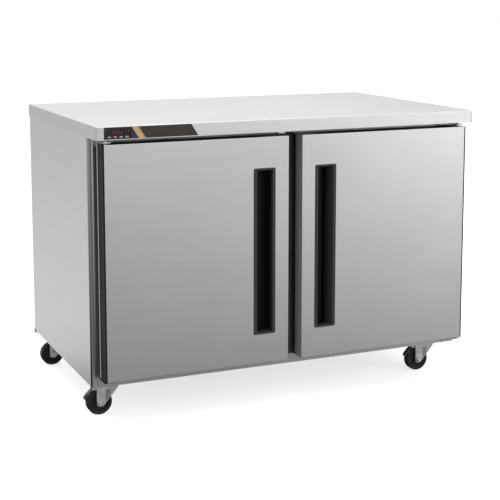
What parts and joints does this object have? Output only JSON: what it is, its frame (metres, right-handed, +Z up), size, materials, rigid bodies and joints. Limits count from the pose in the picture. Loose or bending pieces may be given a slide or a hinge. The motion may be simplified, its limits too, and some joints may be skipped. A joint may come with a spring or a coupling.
{
  "type": "undercounter refrigerator",
  "caption": "Stainless worktop refrigerator: swing doors with recessed full-height pulls, apron control panel, wire shelves and refrigeration unit, on swivel casters.",
  "frame": {"origin": "on the floor under the middle of the worktop", "axes": "+X to the right seen from the front, +Y to the back, +Z up; the doors face -Y"},
  "size_m": [1.2238, 0.7635, 0.8636],
  "materials": {
    "stainless": "brushed, grain along the sheet",
    "galvanised": "dull zinc",
    "aluminium_liner": "stucco, satin",
    "foam": "rigid insulation",
    "black_plastic": "satin black",
    "door_side_trim": "satin dark grey",
    "white_plastic": "semi-gloss",
    "gasket": "soft satin",
    "label": "printed film, plain band",
    "lens": "smoked",
    "keys": "satin",
    "zinc": "zinc plated",
    "wheel_rubber": "satin",
    "shelf_coating": "smooth epoxy",
    "evaporator_paint": "smooth",
    "compressor_paint": "semi-gloss black",
    "coil_fins": "thin sheet",
    "copper": "bare copper",
    "motor_paint": "semi-gloss",
    "fan_plastic": "satin",
    "pan_plastic": "satin"
  },
  "bodies": {
    "cabinet": {"worktop": "stainless", "side_panel_left": "stainless", "side_panel_right": "stainless", "back_panel": "galvanised", "rear_grille": "galvanised", "base_pan": "galvanised", "cabinet_foam": "foam", "inner_liner": "aluminium_liner", "face_frame": "stainless", "mullion_post": "white_plastic", "mullion_cover": "black_plastic", "label_plate": "label", "display_lens": "lens", "control_housing": "black_plastic", "hinge_brackets": "zinc", "shelf_standards": "stainless", "shelf_clips": "stainless", "shelf_left": "shelf_coating", "shelf_right": "shelf_coating", "evaporator_coil": "coil_fins", "evaporator_cover": "evaporator_paint", "evaporator_fan_motor": "motor_paint", "compressor": "compressor_paint", "condenser_coil": "coil_fins", "condenser_fan_motor": "motor_paint", "condensate_pan": "pan_plastic", "refrigerant_lines": "copper", "caster_plates": "zinc", "screws": "zinc", "cord_gland": "black_plastic"},
    "door_left": {"door_skin_left": "stainless", "door_edge_left": "door_side_trim", "door_foam_left": "foam", "door_liner_left": "white_plastic", "door_gasket_left": "gasket", "door_handle_left": "black_plastic", "hinge_bushes_left": "white_plastic"},
    "door_right": {"door_skin_right": "stainless", "door_edge_right": "door_side_trim", "door_foam_right": "foam", "door_liner_right": "white_plastic", "door_gasket_right": "gasket", "door_handle_right": "black_plastic", "hinge_bushes_right": "white_plastic"},
    "caster_front_left": {"caster_fork_front_left": "zinc"},
    "wheel_front_left": {"wheel_front_left": "wheel_rubber"},
    "brake_pedal_front_left": {"brake_pedal_front_left": "zinc"},
    "caster_front_right": {"caster_fork_front_right": "zinc"},
    "wheel_front_right": {"wheel_front_right": "wheel_rubber"},
    "brake_pedal_front_right": {"brake_pedal_front_right": "zinc"},
    "caster_rear_left": {"caster_fork_rear_left": "zinc"},
    "wheel_rear_left": {"wheel_rear_left": "wheel_rubber"},
    "caster_rear_right": {"caster_fork_rear_right": "zinc"},
    "wheel_rear_right": {"wheel_rear_right": "wheel_rubber"},
    "evaporator_fan": {"evaporator_fan_blade": "fan_plastic"},
    "condenser_fan": {"condenser_fan_blade": "fan_plastic"},
    "key_set": {"key_set": "keys"},
    "key_up": {"key_up": "keys"},
    "key_down": {"key_down": "keys"},
    "key_light": {"key_light": "keys"}
  },
  "joints": [
    {"name": "door_left_hinge", "type": "hinge", "parent": "cabinet", "child": "door_left", "pos_m": [-0.5752, -0.3552, 0.474], "axis": [0, 0, -1], "range_deg": [0, 120], "stiffness_Nm_per_rad": 2, "springref_deg": -68.75},
    {"name": "door_right_hinge", "type": "hinge", "parent": "cabinet", "child": "door_right", "pos_m": [0.5752, -0.3552, 0.474], "axis": [0, 0, 1], "range_deg": [0, 120], "stiffness_Nm_per_rad": 2, "springref_deg": -68.75},
    {"name": "caster_front_left_swivel", "type": "hinge", "parent": "cabinet", "child": "caster_front_left", "pos_m": [-0.5396, -0.233, 0.088], "axis": [0, 0, 1], "continuous": true},
    {"name": "wheel_front_left_spin", "type": "hinge", "parent": "caster_front_left", "child": "wheel_front_left", "pos_m": [-0.5696, -0.233, 0.0381], "axis": [0, 1, 0], "continuous": true},
    {"name": "brake_pedal_front_left_tilt", "type": "hinge", "parent": "caster_front_left", "child": "brake_pedal_front_left", "pos_m": [-0.5866, -0.233, 0.0791], "axis": [0, 1, 0], "range_deg": [0, 14]},
    {"name": "caster_front_right_swivel", "type": "hinge", "parent": "cabinet", "child": "caster_front_right", "pos_m": [0.5396, -0.233, 0.088], "axis": [0, 0, 1], "continuous": true},
    {"name": "wheel_front_right_spin", "type": "hinge", "parent": "caster_front_right", "child": "wheel_front_right", "pos_m": [0.5096, -0.233, 0.0381], "axis": [0, 1, 0], "continuous": true},
    {"name": "brake_pedal_front_right_tilt", "type": "hinge", "parent": "caster_front_right", "child": "brake_pedal_front_right", "pos_m": [0.4926, -0.233, 0.0791], "axis": [0, 1, 0], "range_deg": [0, 14]},
    {"name": "caster_rear_left_swivel", "type": "hinge", "parent": "cabinet", "child": "caster_rear_left", "pos_m": [-0.5396, 0.302, 0.088], "axis": [0, 0, 1], "continuous": true},
    {"name": "wheel_rear_left_spin", "type": "hinge", "parent": "caster_rear_left", "child": "wheel_rear_left", "pos_m": [-0.5696, 0.302, 0.0381], "axis": [0, 1, 0], "continuous": true},
    {"name": "caster_rear_right_swivel", "type": "hinge", "parent": "cabinet", "child": "caster_rear_right", "pos_m": [0.5396, 0.302, 0.088], "axis": [0, 0, 1], "continuous": true},
    {"name": "wheel_rear_right_spin", "type": "hinge", "parent": "caster_rear_right", "child": "wheel_rear_right", "pos_m": [0.5096, 0.302, 0.0381], "axis": [0, 1, 0], "continuous": true},
    {"name": "evaporator_fan_spin", "type": "hinge", "parent": "cabinet", "child": "evaporator_fan", "pos_m": [0, 0.242, 0.6938], "axis": [0, 1, 0], "continuous": true},
    {"name": "condenser_fan_spin", "type": "hinge", "parent": "cabinet", "child": "condenser_fan", "pos_m": [0.24, 0.24, 0.231], "axis": [0, 1, 0], "continuous": true},
    {"name": "key_set_press", "type": "slide", "parent": "cabinet", "child": "key_set", "axis": [0, 1, 0], "range_m": [0, 0.0005], "stiffness_N_per_m": 300, "springref_m": -0.001},
    {"name": "key_up_press", "type": "slide", "parent": "cabinet", "child": "key_up", "axis": [0, 1, 0], "range_m": [0, 0.0005], "stiffness_N_per_m": 300, "springref_m": -0.001},
    {"name": "key_down_press", "type": "slide", "parent": "cabinet", "child": "key_down", "axis": [0, 1, 0], "range_m": [0, 0.0005], "stiffness_N_per_m": 300, "springref_m": -0.001},
    {"name": "key_light_press", "type": "slide", "parent": "cabinet", "child": "key_light", "axis": [0, 1, 0], "range_m": [0, 0.0005], "stiffness_N_per_m": 300, "springref_m": -0.001}
  ]
}
